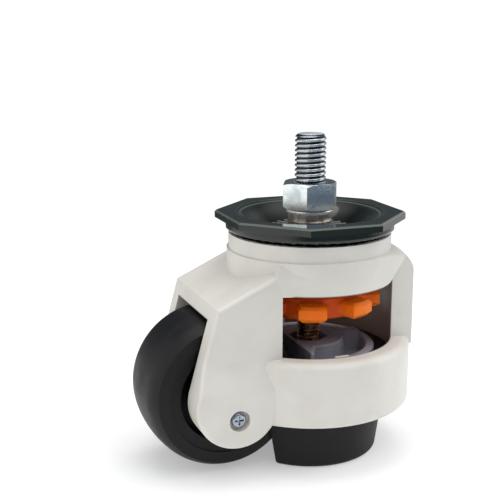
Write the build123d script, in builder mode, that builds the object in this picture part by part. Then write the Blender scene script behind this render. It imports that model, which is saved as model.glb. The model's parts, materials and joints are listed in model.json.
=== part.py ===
"""Levelling castor: a 40 mm swivel wheel with a screw-down rubber foot beside it.

The origin lies on the swivel axis, in the plane of the floor. +Z is up, the wheel
stands behind the axis at -X, and the wheel's axle runs along Y. Millimetres.
"""
import math
import os

from build123d import *

os.makedirs("parts", exist_ok=True)

# ---------------------------------------------------------------- driving dimensions
# Clearances
running_gap = 0.04          # a shaft in its bearing, measured on the radius
fit_gap = 0.02              # a bush or insert pressed into its seat
slip_gap = 0.3              # moving pieces that pass each other without bearing
seat_gap = 0.15             # a piece that slides or rolls on its seat

# Wheel and axle
wheel_radius = 20.0
wheel_width = 22.0
tread_corner = 4.5          # width of the rounded shoulder of the tread
tread_drop = 2.3            # how far the shoulder falls below the crown
tread_crown = 0.45          # how far the crown falls from its middle to the shoulder
tread_inner_radius = 14.8
rim_thickness = 2.8
wheel_hub_radius = 8.8
web_thickness = 9.0
side_recess = 0.3           # how far the rim and hub ends lie inside the tread's sides
bush_radius = 7.0
bush_length = 8.5
axle_radius = 5.0
axle_head_radius = 6.6
axle_head_thickness = 1.6
axle_slot_width = 1.6
axle_seat_depth = 4.3       # blind seat of the axle in the near cheek
axle_washer_radius = 7.6
axle_screw_offset = 3.3     # the locking screw below the axle's own axis
axle_screw_radius = 1.0
axle_screw_length = 9.0
axle_screw_head_radius = 1.9
axle_screw_head_height = 1.2
screw_recess_radius = 2.65
screw_recess_depth = 1.7

# Housing casting
ring_radius = 26.5
ring_bottom = 13.7
ring_top = 30.2
ring_top_round = 2.2
ring_bottom_round = 1.4
foot_bore_radius = 21.6
window_top = 45.7
lintel_radius = 21.5
collar_radius = 21.0
collar_step = 53.0
collar_top = 57.9
collar_recess_radius = 17.2
pillar_radius = 27.2
pillar_half_width = 11.0
shoulder_bottom = 47.4
shoulder_top = 54.2
shoulder_ease = 0.45        # how softly the shoulder leaves the pillar and meets the collar
ledge_height = 50.0         # the sharp edge between the cheeks and the round lintel
ledge_step = 1.8            # how far that edge runs back over the cheek
ledge_top_taper = 28.0      # degrees from upright, above the edge
ledge_low_taper = 9.0       # degrees from upright, below the edge
scoop_slope = 1.86          # rise over run of the windows' ceiling outside the lintel
hood_half_width = 17.3
cheek_half_width = 20.0
flare_top = 31.0
flare_bottom = 22.4
flare_ease = 0.3            # how softly the cheek runs into the flare at both ends
hood_overhang = 4.4         # how far behind the axle the roof ends
hood_reach = 12.0           # how far before the axle the cheeks end at the side windows
hood_rear_height = 44.0
roof_slope = 24.8           # degrees
lobe_radius = 10.6
lobe_rise = 20.0            # degrees from level where the lobe runs off into the ring
edge_round = 1.3
bay_gap = 1.2               # wheel to the roof of its bay
bay_half_width = 11.9
key_width = 3.6
key_depth = 1.4

# Swivel head
cover_across_corners = 49.2
cover_edge_bottom = 61.2
cover_top = 63.2
cover_bevel = 0.5
cover_skirt_radius = 21.8
cover_skirt_bottom = 60.3
cover_underside_radius = 16.6
cover_turn = 21.5           # degrees that the eight-sided cover stands turned at rest
lip_radius = 18.1
lip_width = 1.2
lip_drop = 0.5
bowl_depth = 4.9
bowl_floor_radius = 10.6
bowl_shoulder = 2.2         # how far the bowl's wall leans in under the lip
bowl_shoulder_drop = 0.5
bowl_foot = 2.6             # how far the bowl's wall runs out over its floor
bowl_foot_rise = 1.2
cover_floor_thickness = 1.5
rib_count = 24
rib_width = 0.6
rib_height = 0.8
stem_thread_radius = 4.0
stem_pitch_radius = 3.594   # the pitch radius of the thread, where stem and nut meet
stem_top = 83.0
stem_chamfer = 0.8
nut_across_flats = 13.0
nut_height = 6.8
nut_corner_angle = 30.0     # degrees, how the hexagon's corners are turned off
nut_mouth_radius = 4.2      # countersink at both ends of the nut's thread
neck_top = 62.8
neck_washer_radius = 6.1
neck_washer_thickness = 1.1
neck_radius = 5.7
neck_groove_depth = 0.45
neck_groove_width = 0.9
neck_flange_radius = 7.0
neck_flange_thickness = 1.5
journal_radius = 5.0
stem_head_radius = 8.0
stem_head_thickness = 3.1
stem_head_pocket_radius = 9.4
hub_web_thickness = 4.2
hub_bush_radius = 6.4

# Ball race of the swivel
ball_radius = 1.15
ball_count = 46             # a full row, without a cage
race_radius = 19.2
race_ring_thickness = 0.8
race_ring_width = 2.2

# Star wheel, its spindle and the plate that carries them
star_lobe_bottom = 38.25
star_lobe_height = 4.0
star_lobes = 8
star_radius = 18.6
star_lobe_width = 7.0
star_top_bevel = 0.7
star_low_bevel = 1.0
star_drum_radius = 14.0
star_drum_drop = 0.4        # how far the drum stands out below the lobes
star_drum_rise = 1.5        # and above them
star_root_round = 1.9
star_turn = 24.15           # degrees, where one lobe points at rest
star_hub_radius = 7.0
plate_radius = 17.4
plate_thickness = 2.0
plate_screw_count = 3
plate_screw_circle = 13.4
plate_screw_radius = 1.25
plate_screw_length = 5.5
plate_screw_head_radius = 2.2
plate_screw_head_height = 1.2
spindle_radius = 3.0
spindle_run_out = 1.0       # thread below the nut when the foot is all the way down
spindle_chamfer = 0.5
spindle_drive_flats = 8.0
spindle_journal_radius = 3.5
spindle_flange_radius = 5.4
spindle_flange_thickness = 1.0
circlip_radius = 5.2
circlip_thickness = 0.7
circlip_groove_depth = 0.7

# Foot: a grey core in a rubber pad, notched for the wheel
foot_down_travel = 8.0
foot_up_travel = 2.0
pad_bottom_radius = 18.2
pad_top_radius = 21.2
pad_cone_height = 22.0
pad_height = 26.5
pad_sole_thickness = 5.0
pad_edge_round = 1.3
core_bottom_radius = 16.2
core_radius = 17.35
core_rim_width = 2.25
core_rim_stand = 1.5        # the grey rim above the rubber
core_hub_stand = 3.0        # the hub and its webs above the rubber
core_pocket_depth = 2.5     # the pockets' floor below the top of the rubber
core_hub_radius = 9.35
core_hub_step = 0.25        # ledge round the hub, level with the rim
core_web_count = 3
core_web_width = 3.2
core_web_turn = 5.6         # degrees, where one web points
core_corner_round = 1.0
core_edge_bevel = 0.35
core_flat_wall = 0.9        # core left between the nut and the flat side by the wheel
spindle_nut_flats = 9.0
spindle_nut_height = 8.0
spindle_nut_depth = 3.0     # below the top of the core's hub

# ---------------------------------------------------------------- derived levels
axle_height = wheel_radius
bay_radius = wheel_radius + bay_gap
notch_front = spindle_nut_flats / 2 + core_flat_wall
trail = notch_front + bay_gap + wheel_radius     # from the swivel axis back to the axle
hood_rear = trail + hood_overhang
window_rear = trail - hood_reach
cover_floor_top = cover_top - bowl_depth
cover_floor_bottom = cover_floor_top - cover_floor_thickness
nut_bottom = neck_top + neck_washer_thickness
nut_top = nut_bottom + nut_height
hub_web_top = cover_floor_bottom - slip_gap
hub_web_bottom = hub_web_top - hub_web_thickness
stem_head_top = hub_web_bottom - seat_gap
stem_head_bottom = stem_head_top - stem_head_thickness
plate_bottom = window_top
plate_top = plate_bottom + plate_thickness
star_lobe_top = star_lobe_bottom + star_lobe_height
star_bottom = star_lobe_bottom - star_drum_drop
star_top = star_lobe_top + star_drum_rise
core_floor = pad_height - core_pocket_depth
core_rim_top = pad_height + core_rim_stand
core_hub_top = pad_height + core_hub_stand
core_rim_inner = core_radius - core_rim_width
spindle_nut_top = core_hub_top - spindle_nut_depth
spindle_nut_bottom = spindle_nut_top - spindle_nut_height
spindle_bottom = spindle_nut_bottom - foot_down_travel - spindle_run_out
spindle_hole_bottom = spindle_bottom - foot_up_travel - slip_gap
spindle_shoulder = plate_bottom - seat_gap
spindle_top = stem_head_bottom - slip_gap
circlip_bottom = plate_top + seat_gap / 2
ball_level = cover_skirt_bottom - seat_gap - ball_radius
race_ring_top = collar_top + slip_gap / 2
race_ring_bottom = race_ring_top - race_ring_thickness
screw_seat = cheek_half_width - screw_recess_depth
axle_near_end = bay_half_width + axle_seat_depth
roof_rise = math.tan(math.radians(roof_slope))
bush_outer_end = wheel_width / 2 - side_recess
washer_thickness = bay_half_width - bush_outer_end - 2 * seat_gap
stem_hole_radius = stem_thread_radius + fit_gap
inside = Mode.SUBTRACT

# The axle's line: looking along it its plane's own x is +X and its own y points down.
axle_line = Plane(origin=(-trail, 0, axle_height), x_dir=(1, 0, 0), z_dir=(0, 1, 0))
# The wheel's section: its own x runs along the axle and its own y is the radius.
wheel_section = Plane(origin=(-trail, 0, axle_height), x_dir=(0, 1, 0), z_dir=(1, 0, 0))


# ---------------------------------------------------------------- housing
# The side outline: roof, leaning rear edge, round lobe about the axle, and a front edge
# that lies inside the ring. The front outline: upright above, a flare, and wider cheeks
# about the axle.
reach = math.hypot(hood_rear - trail, hood_rear_height - axle_height)
lean = math.asin(lobe_radius / reach) - math.asin((hood_rear - trail) / reach)
lobe_start = (-trail - lobe_radius * math.cos(lean), axle_height + lobe_radius * math.sin(lean))
lobe_low = (-trail, axle_height - lobe_radius)
rise = math.radians(lobe_rise)
lobe_end = (-trail + lobe_radius * math.cos(rise), axle_height - lobe_radius * math.sin(rise))
front_foot = (-window_rear, lobe_end[1] + (-window_rear - lobe_end[0]) / math.tan(rise))
roof_front = (-window_rear, hood_rear_height + roof_rise * (hood_rear - window_rear))

with BuildPart() as hood:
    with BuildSketch(Plane.XZ):
        with BuildLine():
            Line(roof_front, (-hood_rear, hood_rear_height))
            Line((-hood_rear, hood_rear_height), lobe_start)
            RadiusArc(lobe_start, lobe_low, -lobe_radius)
            RadiusArc(lobe_low, lobe_end, -lobe_radius)
            Line(lobe_end, front_foot)
            Line(front_foot, roof_front)
        make_face()
    extrude(amount=cheek_half_width, both=True)
    with BuildSketch(Plane.YZ):
        with BuildLine():
            Line((0, 0), (cheek_half_width, 0))
            Line((cheek_half_width, 0), (cheek_half_width, flare_bottom))
            Bezier(
                (cheek_half_width, flare_bottom),
                (cheek_half_width, flare_bottom + flare_ease * (flare_top - flare_bottom)),
                (hood_half_width, flare_top - flare_ease * (flare_top - flare_bottom)),
                (hood_half_width, flare_top),
            )
            Line((hood_half_width, flare_top), (hood_half_width, collar_top))
            Line((hood_half_width, collar_top), (0, collar_top))
            mirror(about=Plane.YZ)
        make_face()
    extrude(amount=hood_rear + lobe_radius, both=True, mode=Mode.INTERSECT)
    outline = [
        edge
        for edge in hood.edges()
        if abs(edge.center().Y) > hood_half_width - edge_round
        and edge.center().X < -window_rear - edge_round
        and abs(edge.tangent_at(0.5).X) < 0.999
    ]
    fillet(outline, radius=edge_round)

with BuildPart() as housing:
    # the ring about the foot, the lintel over the windows and the collar above it
    with BuildSketch(Plane.XZ):
        with BuildLine():
            Line((0, ring_bottom), (ring_radius - ring_bottom_round, ring_bottom))
            RadiusArc(
                (ring_radius - ring_bottom_round, ring_bottom),
                (ring_radius, ring_bottom + ring_bottom_round),
                -ring_bottom_round,
            )
            Line((ring_radius, ring_bottom + ring_bottom_round), (ring_radius, ring_top - ring_top_round))
            RadiusArc(
                (ring_radius, ring_top - ring_top_round),
                (ring_radius - ring_top_round, ring_top),
                -ring_top_round,
            )
            Line((ring_radius - ring_top_round, ring_top), (0, ring_top))
            Line((0, ring_top), (0, ring_bottom))
        make_face()
    revolve(axis=Axis.Z)
    with BuildSketch(Plane.XZ):
        with BuildLine():
            Polyline(
                (0, window_top),
                (lintel_radius, window_top),
                (lintel_radius, collar_step - slip_gap),
                (collar_radius, collar_step),
                (collar_radius, collar_top),
                (0, collar_top),
                close=True,
            )
        make_face()
    revolve(axis=Axis.Z)

    # the front pillar with its sloping shoulder, turned about the swivel axis
    shoulder_fall = shoulder_ease * (shoulder_top - shoulder_bottom)
    shoulder_run = shoulder_ease * (pillar_radius - collar_radius)
    with BuildSketch(Plane.XZ, mode=Mode.PRIVATE) as shoulder_section:
        with BuildLine():
            Line((0, ring_bottom + ring_bottom_round), (pillar_radius, ring_top - ring_top_round))
            Line((pillar_radius, ring_top - ring_top_round), (pillar_radius, shoulder_bottom))
            Bezier(
                (pillar_radius, shoulder_bottom),
                (pillar_radius, shoulder_bottom + shoulder_fall),
                (pillar_radius - shoulder_run, shoulder_top - shoulder_fall / 2),
                (collar_radius - slip_gap, shoulder_top),
            )
            Line((collar_radius - slip_gap, shoulder_top), (0, shoulder_top))
            Line((0, shoulder_top), (0, ring_bottom + ring_bottom_round))
        make_face()
    with BuildPart(mode=Mode.PRIVATE) as pillar:
        revolve(shoulder_section.sketch, axis=Axis.Z)
        with Locations((pillar_radius, 0, 0)):
            Box(2 * pillar_radius, 2 * pillar_half_width, 2 * collar_top, mode=Mode.INTERSECT)

    # beside the pillar the lintel runs straight out to the pillar's edges, under the same
    # shoulder, and the windows' ceiling slopes up below it
    with BuildPart(mode=Mode.PRIVATE) as wings:
        pillar_edge = math.sqrt(pillar_radius**2 - pillar_half_width**2)
        with BuildSketch(Plane.XY.offset(window_top)):
            Circle(lintel_radius)
            with Locations((pillar_edge / 2, 0)):
                Rectangle(pillar_edge, 2 * pillar_half_width)
            make_hull()
        extrude(amount=shoulder_top - window_top)
        revolve(shoulder_section.sketch, axis=Axis.Z, mode=Mode.INTERSECT)
        with BuildSketch(Plane.XZ):
            scoop_rise = scoop_slope * (pillar_radius + slip_gap - lintel_radius)
            Polygon(
                (lintel_radius, window_top),
                (pillar_radius + slip_gap, window_top),
                (pillar_radius + slip_gap, window_top + scoop_rise),
                align=None,
            )
        revolve(axis=Axis.Z, mode=inside)

    # towards the cheeks the lintel runs straight back to a sharp edge over the windows
    with BuildPart(mode=Mode.PRIVATE) as ledge:
        ledge_rear = window_rear + ledge_step
        corner_turn = math.atan2(hood_half_width, ledge_rear)
        tangent_turn = corner_turn + math.acos(lintel_radius / math.hypot(ledge_rear, hood_half_width))
        tangent = (-lintel_radius * math.cos(tangent_turn), lintel_radius * math.sin(tangent_turn))
        with BuildSketch(Plane.XY.offset(ledge_height)) as ledge_outline:
            Polygon(
                (-ledge_rear, -hood_half_width),
                (tangent[0], -tangent[1]),
                tangent,
                (-ledge_rear, hood_half_width),
                align=None,
            )
        extrude(ledge_outline.sketch, amount=collar_step - ledge_height, taper=ledge_top_taper)
        extrude(ledge_outline.sketch, amount=window_top - ledge_height, taper=ledge_low_taper)
    add(pillar.part)
    add(wings.part)
    add(ledge.part)
    add(hood.part)

    # the bore for the foot, up to the underside of the deck
    with BuildSketch(Plane.XY):
        Circle(foot_bore_radius)
    extrude(amount=window_top, mode=inside)

    # the deck from below: seat of the carrier plate, pocket of the stem's head, bush bore
    with BuildSketch(Plane.XY.offset(window_top)):
        Circle(plate_radius + running_gap)
    extrude(amount=plate_thickness, mode=inside)
    with BuildSketch(Plane.XY.offset(plate_top)):
        Circle(stem_head_pocket_radius)
    extrude(amount=hub_web_bottom - plate_top, mode=inside)
    with BuildSketch(Plane.XY.offset(hub_web_bottom)):
        Circle(hub_bush_radius + fit_gap)
    extrude(amount=collar_top - hub_web_bottom, mode=inside)
    with BuildSketch(Plane.XY.offset(plate_top)):
        with PolarLocations(plate_screw_circle, plate_screw_count):
            Circle(plate_screw_radius + fit_gap)
    extrude(amount=plate_screw_length - plate_thickness + seat_gap, mode=inside)

    # the collar from above: hollow for the cover's bowl, and the seat of the race ring
    with BuildSketch(Plane.XY.offset(hub_web_top)):
        Circle(collar_recess_radius)
    extrude(amount=collar_top - hub_web_top, mode=inside)
    with BuildSketch(Plane.XY.offset(race_ring_bottom)):
        Circle(race_radius + race_ring_width / 2 + fit_gap)
    extrude(amount=collar_top - race_ring_bottom, mode=inside)

    # side windows between the ring and the lintel, from the cheeks to the pillar
    window_height = window_top - ring_top
    for side in (1, -1):
        with Locations((0, side * ring_radius, ring_top + window_height / 2)):
            Box(
                2 * window_rear,
                2 * (ring_radius - bay_half_width),
                window_height,
                mode=inside,
            )

    # the wheel's bay: an arch about the axle, open to the floor and to the rear
    with BuildSketch(Plane.XZ):
        with Locations((-trail, axle_height)):
            Circle(bay_radius)
        with Locations((-trail, axle_height / 2)):
            Rectangle(2 * bay_radius, axle_height)
        with Locations((-trail - bay_radius, axle_height)):
            Rectangle(bay_radius, bay_radius, align=(Align.CENTER, Align.MIN))
    extrude(amount=bay_half_width, both=True, mode=inside)

    # guide keys that stand in from the ring and stop the foot from turning
    for side in (1, -1):
        with Locations((0, side * (foot_bore_radius - key_depth / 2), (ring_bottom + ring_top) / 2)):
            Box(key_width, key_depth + slip_gap, ring_top - ring_bottom)

    # axle seats: blind in the near cheek, through the far one with a sunk head
    with BuildSketch(axle_line.offset(-axle_near_end)):
        Circle(axle_radius + running_gap)
    extrude(amount=axle_near_end + cheek_half_width, mode=inside)
    with BuildSketch(axle_line.offset(cheek_half_width - axle_head_thickness)):
        Circle(axle_head_radius + running_gap)
    extrude(amount=axle_head_thickness, mode=inside)
    with BuildSketch(axle_line.offset(-cheek_half_width)):
        with Locations((0, axle_screw_offset)):
            Circle(screw_recess_radius)
    extrude(amount=screw_recess_depth, mode=inside)
    with BuildSketch(axle_line.offset(-screw_seat)):
        with Locations((0, axle_screw_offset)):
            Circle(axle_screw_radius + running_gap)
    extrude(amount=screw_seat - axle_near_end, mode=inside)
housing.part.label = "housing"
export_step(housing.part, "parts/housing.step")

# ---------------------------------------------------------------- fixed head
with BuildPart() as top_cover:
    # pressed plate: bowl, lip, flat top and round skirt, turned as one section
    with BuildSketch(Plane.XZ):
        with BuildLine():
            Polyline(
                (bowl_floor_radius, cover_floor_top),
                (stem_hole_radius, cover_floor_top),
                (stem_hole_radius, cover_floor_bottom),
                (bowl_floor_radius, cover_floor_bottom),
                (cover_underside_radius, cover_skirt_bottom),
                (cover_skirt_radius, cover_skirt_bottom),
                (cover_skirt_radius, cover_edge_bottom),
                (cover_across_corners / 2, cover_edge_bottom),
                (cover_across_corners / 2, cover_top),
                (lip_radius + lip_width, cover_top),
                (lip_radius, cover_top - lip_drop),
            )
            Bezier(
                (lip_radius, cover_top - lip_drop),
                (lip_radius - bowl_shoulder, cover_top - lip_drop - bowl_shoulder_drop),
                (bowl_floor_radius + bowl_foot, cover_floor_top + bowl_foot_rise),
                (bowl_floor_radius, cover_floor_top),
            )
        make_face()
    revolve(axis=Axis.Z)
    # the eight-sided rim
    with BuildSketch(Plane.XY.offset(cover_floor_bottom)):
        RegularPolygon(cover_across_corners / 2, 8, rotation=cover_turn)
    extrude(amount=cover_top - cover_floor_bottom, mode=Mode.INTERSECT)
    rim_edges = [
        edge
        for edge in top_cover.edges().filter_by(GeomType.LINE)
        if abs(edge.center().Z - cover_top) < cover_bevel / 2
    ]
    chamfer(rim_edges, length=cover_bevel)
    # stiffening ribs on the floor of the bowl
    with BuildSketch(Plane.XY.offset(cover_floor_top - rib_height)):
        with PolarLocations((neck_flange_radius + bowl_floor_radius) / 2, rib_count):
            Rectangle(bowl_floor_radius - neck_flange_radius, rib_width)
    extrude(amount=2 * rib_height)
top_cover.part.label = "top_cover"
export_step(top_cover.part, "parts/top_cover.step")

with BuildPart() as stem_bolt:
    # head in the deck, plain journal in the bush, threaded stem above the cover, drawn at
    # its pitch radius inside the nut and at its full radius elsewhere
    with BuildSketch(Plane.XY.offset(stem_head_bottom)):
        Circle(stem_head_radius)
    extrude(amount=stem_head_thickness)
    chamfer(stem_bolt.edges().sort_by(Axis.Z)[0], length=stem_chamfer)
    with BuildSketch(Plane.XY.offset(stem_head_top)):
        Circle(journal_radius)
    extrude(amount=cover_floor_bottom - stem_head_top)
    with BuildSketch(Plane.XY.offset(cover_floor_bottom)):
        Circle(stem_thread_radius)
    extrude(amount=nut_bottom - cover_floor_bottom)
    with BuildSketch(Plane.XY.offset(nut_bottom)):
        Circle(stem_pitch_radius)
    extrude(amount=nut_height)
    with BuildSketch(Plane.XY.offset(nut_top)):
        Circle(stem_thread_radius)
    extrude(amount=stem_top - nut_top)
    chamfer(stem_bolt.edges().sort_by(Axis.Z)[-1], length=stem_chamfer)
stem_bolt.part.label = "stem_bolt"
export_step(stem_bolt.part, "parts/stem_bolt.step")

with BuildPart() as neck_bush:
    # flanged spacer between the cover and the washer, with one turned groove
    neck_bottom = cover_floor_top
    groove_level = (neck_bottom + neck_flange_thickness + neck_top) / 2
    with BuildSketch(Plane.XZ):
        with BuildLine():
            Polyline(
                (stem_hole_radius, neck_bottom),
                (neck_flange_radius, neck_bottom),
                (neck_flange_radius, neck_bottom + neck_flange_thickness / 2),
                (neck_radius, neck_bottom + neck_flange_thickness),
                (neck_radius, groove_level - neck_groove_width / 2),
                (neck_radius - neck_groove_depth, groove_level),
                (neck_radius, groove_level + neck_groove_width / 2),
                (neck_radius, neck_top),
                (stem_hole_radius, neck_top),
                close=True,
            )
        make_face()
    revolve(axis=Axis.Z)
neck_bush.part.label = "neck_bush"
export_step(neck_bush.part, "parts/neck_bush.step")

with BuildPart() as neck_washer:
    with BuildSketch(Plane.XY.offset(neck_top)):
        Circle(neck_washer_radius)
        Circle(stem_hole_radius, mode=inside)
    extrude(amount=neck_washer_thickness)
neck_washer.part.label = "neck_washer"
export_step(neck_washer.part, "parts/neck_washer.step")

with BuildPart() as lock_nut:
    # hexagon whose corners are turned off at both ends at 30 degrees
    with BuildSketch(Plane.XY.offset(nut_bottom)):
        RegularPolygon(nut_across_flats / 2, 6, major_radius=False)
        Circle(stem_pitch_radius + fit_gap, mode=inside)
    extrude(amount=nut_height)
    nut_corner = nut_across_flats / math.sqrt(3)
    corner_drop = (nut_corner - nut_across_flats / 2) * math.tan(math.radians(nut_corner_angle))
    with BuildSketch(Plane.XZ):
        with BuildLine():
            Polyline(
                (0, nut_bottom),
                (nut_across_flats / 2, nut_bottom),
                (nut_corner, nut_bottom + corner_drop),
                (nut_corner, nut_top - corner_drop),
                (nut_across_flats / 2, nut_top),
                (0, nut_top),
                close=True,
            )
        make_face()
    revolve(axis=Axis.Z, mode=Mode.INTERSECT)
    mouths = lock_nut.edges().filter_by(
        lambda edge: edge.geom_type == GeomType.CIRCLE and edge.radius < stem_pitch_radius + 2 * fit_gap
    )
    chamfer(mouths, length=nut_mouth_radius - stem_pitch_radius - fit_gap)
lock_nut.part.label = "lock_nut"
export_step(lock_nut.part, "parts/lock_nut.step")

# ---------------------------------------------------------------- swivel bearing
with BuildPart() as hub_bush:
    with BuildSketch(Plane.XY.offset(hub_web_bottom)):
        Circle(hub_bush_radius)
        Circle(journal_radius + running_gap, mode=inside)
    extrude(amount=hub_web_thickness)
hub_bush.part.label = "hub_bush"
export_step(hub_bush.part, "parts/hub_bush.step")

with BuildPart() as race_ring:
    # hardened ring with a groove that the balls run in
    with BuildSketch(Plane.XZ):
        with Locations((race_radius, race_ring_bottom + race_ring_thickness / 2)):
            Rectangle(race_ring_width, race_ring_thickness)
        with Locations((race_radius, ball_level)):
            Circle(ball_radius + seat_gap / 2, mode=inside)
    revolve(axis=Axis.Z)
race_ring.part.label = "race_ring"
export_step(race_ring.part, "parts/race_ring.step")

with BuildPart() as race_balls:
    with Locations((0, 0, ball_level)):
        with PolarLocations(race_radius, ball_count):
            Sphere(ball_radius)
race_balls.part.label = "race_balls"
export_step(race_balls.part, "parts/race_balls.step")

# ---------------------------------------------------------------- carrier plate
with BuildPart() as carrier_plate:
    # round plate let into the deck; the spindle's journal turns in its middle
    with BuildSketch(Plane.XY.offset(plate_bottom)):
        Circle(plate_radius)
        Circle(spindle_journal_radius + running_gap, mode=inside)
        with PolarLocations(plate_screw_circle, plate_screw_count):
            Circle(plate_screw_radius + fit_gap, mode=inside)
    extrude(amount=plate_thickness)
carrier_plate.part.label = "carrier_plate"
export_step(carrier_plate.part, "parts/carrier_plate.step")

with BuildPart() as plate_screws:
    # three screws from below, heads under the plate
    with BuildSketch(Plane.XY.offset(plate_bottom - plate_screw_head_height)):
        with PolarLocations(plate_screw_circle, plate_screw_count):
            Circle(plate_screw_head_radius)
    extrude(amount=plate_screw_head_height)
    chamfer(
        plate_screws.edges().group_by(Axis.Z)[0],
        length=plate_screw_head_height / 3,
    )
    with BuildSketch(Plane.XY.offset(plate_bottom)):
        with PolarLocations(plate_screw_circle, plate_screw_count):
            Circle(plate_screw_radius)
    extrude(amount=plate_screw_length)
plate_screws.part.label = "plate_screws"
export_step(plate_screws.part, "parts/plate_screws.step")

# ---------------------------------------------------------------- star wheel and spindle
with BuildPart() as star_wheel:
    # eight broad lobes that run into a thicker drum by rounded roots
    with BuildSketch(Plane.XY.offset(star_lobe_bottom)) as star_outline:
        Circle(star_drum_radius)
        with PolarLocations(star_radius / 2, star_lobes, start_angle=star_turn):
            Rectangle(star_radius, star_lobe_width)
        root_corners = [
            corner
            for corner in star_outline.vertices()
            if math.hypot(corner.X, corner.Y) < star_drum_radius + running_gap
        ]
        fillet(root_corners, radius=star_root_round)
        with BuildSketch(mode=Mode.INTERSECT):
            Circle(star_radius)
    extrude(amount=star_lobe_height)
    chamfer(star_wheel.edges().group_by(Axis.Z)[0], length=star_low_bevel)
    chamfer(star_wheel.edges().group_by(Axis.Z)[-1], length=star_top_bevel)
    with BuildSketch(Plane.XZ):
        with BuildLine():
            Polyline(
                (0, star_bottom),
                (star_drum_radius - star_drum_drop, star_bottom),
                (star_drum_radius, star_lobe_bottom),
                (star_drum_radius, star_top - star_top_bevel),
                (star_drum_radius - star_top_bevel, star_top),
                (star_hub_radius, star_top),
                (star_hub_radius, spindle_shoulder),
                (0, spindle_shoulder),
                close=True,
            )
        make_face()
    revolve(axis=Axis.Z)
    with BuildSketch(Plane.XY.offset(star_bottom)):
        RegularPolygon(spindle_drive_flats / 2 + fit_gap, 6, major_radius=False)
    extrude(amount=spindle_shoulder - star_bottom, mode=inside)
star_wheel.part.label = "star_wheel"
export_step(star_wheel.part, "parts/star_wheel.step")

with BuildPart() as spindle:
    # thread below, flange under the star wheel, hexagon through it, journal in the plate
    with BuildSketch(Plane.XY.offset(spindle_bottom)):
        Circle(spindle_radius)
    extrude(amount=star_bottom - spindle_bottom)
    chamfer(spindle.edges().sort_by(Axis.Z)[0], length=spindle_chamfer)
    with BuildSketch(Plane.XY.offset(star_bottom - spindle_flange_thickness)):
        Circle(spindle_flange_radius)
    extrude(amount=spindle_flange_thickness)
    with BuildSketch(Plane.XY.offset(star_bottom)):
        RegularPolygon(spindle_drive_flats / 2, 6, major_radius=False)
    extrude(amount=spindle_shoulder - star_bottom)
    with BuildSketch(Plane.XY.offset(spindle_shoulder)):
        Circle(spindle_journal_radius)
    extrude(amount=spindle_top - spindle_shoulder)
    with BuildSketch(Plane.XY.offset(circlip_bottom)):
        Circle(spindle_journal_radius)
        Circle(spindle_journal_radius - circlip_groove_depth, mode=inside)
    extrude(amount=circlip_thickness + running_gap, mode=inside)
spindle.part.label = "spindle"
export_step(spindle.part, "parts/spindle.step")

with BuildPart() as circlip:
    # open ring in the journal's groove
    with BuildSketch(Plane.XY.offset(circlip_bottom + running_gap / 2)):
        Circle(circlip_radius)
        Circle(spindle_journal_radius - circlip_groove_depth + fit_gap, mode=inside)
        with Locations((circlip_radius / 2, 0)):
            Rectangle(circlip_radius, spindle_journal_radius, mode=inside)
    extrude(amount=circlip_thickness)
circlip.part.label = "circlip"
export_step(circlip.part, "parts/circlip.step")

# ---------------------------------------------------------------- foot
with BuildPart() as pad_core:
    # tapered block with a flat side towards the wheel
    with BuildSketch(Plane.XZ):
        with BuildLine():
            Polyline(
                (0, pad_sole_thickness),
                (core_bottom_radius, pad_sole_thickness),
                (core_radius, core_floor),
                (0, core_floor),
                close=True,
            )
        make_face()
    revolve(axis=Axis.Z)
    with Locations((-notch_front, 0, 0)):
        Box(
            2 * core_radius,
            2 * core_radius,
            2 * core_hub_top,
            align=(Align.MIN, Align.CENTER, Align.CENTER),
            mode=Mode.INTERSECT,
        )
    # the hub and three webs that join it to the rim, with deep pockets between them
    with BuildPart(mode=Mode.PRIVATE) as core_top:
        with BuildSketch(Plane.XY.offset(core_floor)):
            Circle(core_rim_inner)
        extrude(amount=core_hub_top - core_floor)
        with BuildSketch(Plane.XY.offset(core_floor)) as pockets:
            Circle(core_rim_inner)
            Circle(core_hub_radius, mode=inside)
            with PolarLocations(core_rim_inner / 2, core_web_count, start_angle=core_web_turn):
                Rectangle(core_rim_inner, core_web_width, mode=inside)
            hub_corners = [
                corner
                for corner in pockets.vertices()
                if math.hypot(corner.X, corner.Y) < core_hub_radius + fit_gap
            ]
            fillet(hub_corners, radius=core_corner_round)
        extrude(amount=core_hub_top - core_floor, mode=inside)
        chamfer(core_top.edges().group_by(Axis.Z)[-1], length=core_edge_bevel)
        with BuildSketch(Plane.XY.offset(core_floor)):
            Circle(core_hub_radius + core_hub_step)
        extrude(amount=core_rim_top - core_floor)
        with BuildSketch(Plane.XY.offset(core_floor)):
            with Locations((-notch_front, 0)):
                Rectangle(core_radius, 2 * core_radius, align=(Align.MAX, Align.CENTER))
        extrude(amount=core_hub_top - core_floor, mode=inside)
    add(core_top.part)
    # the rim, which reaches round the wheel's notch
    with BuildPart(mode=Mode.PRIVATE) as core_rim:
        with BuildSketch(Plane.XY.offset(core_floor)):
            Circle(core_radius)
            Circle(core_rim_inner, mode=inside)
            with Locations((-notch_front, 0)):
                Rectangle(core_radius, 2 * bay_half_width, align=(Align.MAX, Align.CENTER), mode=inside)
        extrude(amount=core_rim_top - core_floor)
        chamfer(core_rim.edges().group_by(Axis.Z)[-1], length=core_edge_bevel)
    add(core_rim.part)
    # the pocket of the nut, and the hole below it for the spindle
    with BuildSketch(Plane.XY.offset(spindle_nut_bottom)):
        RegularPolygon(spindle_nut_flats / 2 + fit_gap, 6, major_radius=False, rotation=30.0)
    extrude(amount=core_hub_top - spindle_nut_bottom, mode=inside)
    with BuildSketch(Plane.XY.offset(spindle_hole_bottom)):
        Circle(spindle_radius + slip_gap)
    extrude(amount=spindle_nut_bottom - spindle_hole_bottom, mode=inside)
pad_core.part.label = "pad_core"
export_step(pad_core.part, "parts/pad_core.step")

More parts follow.
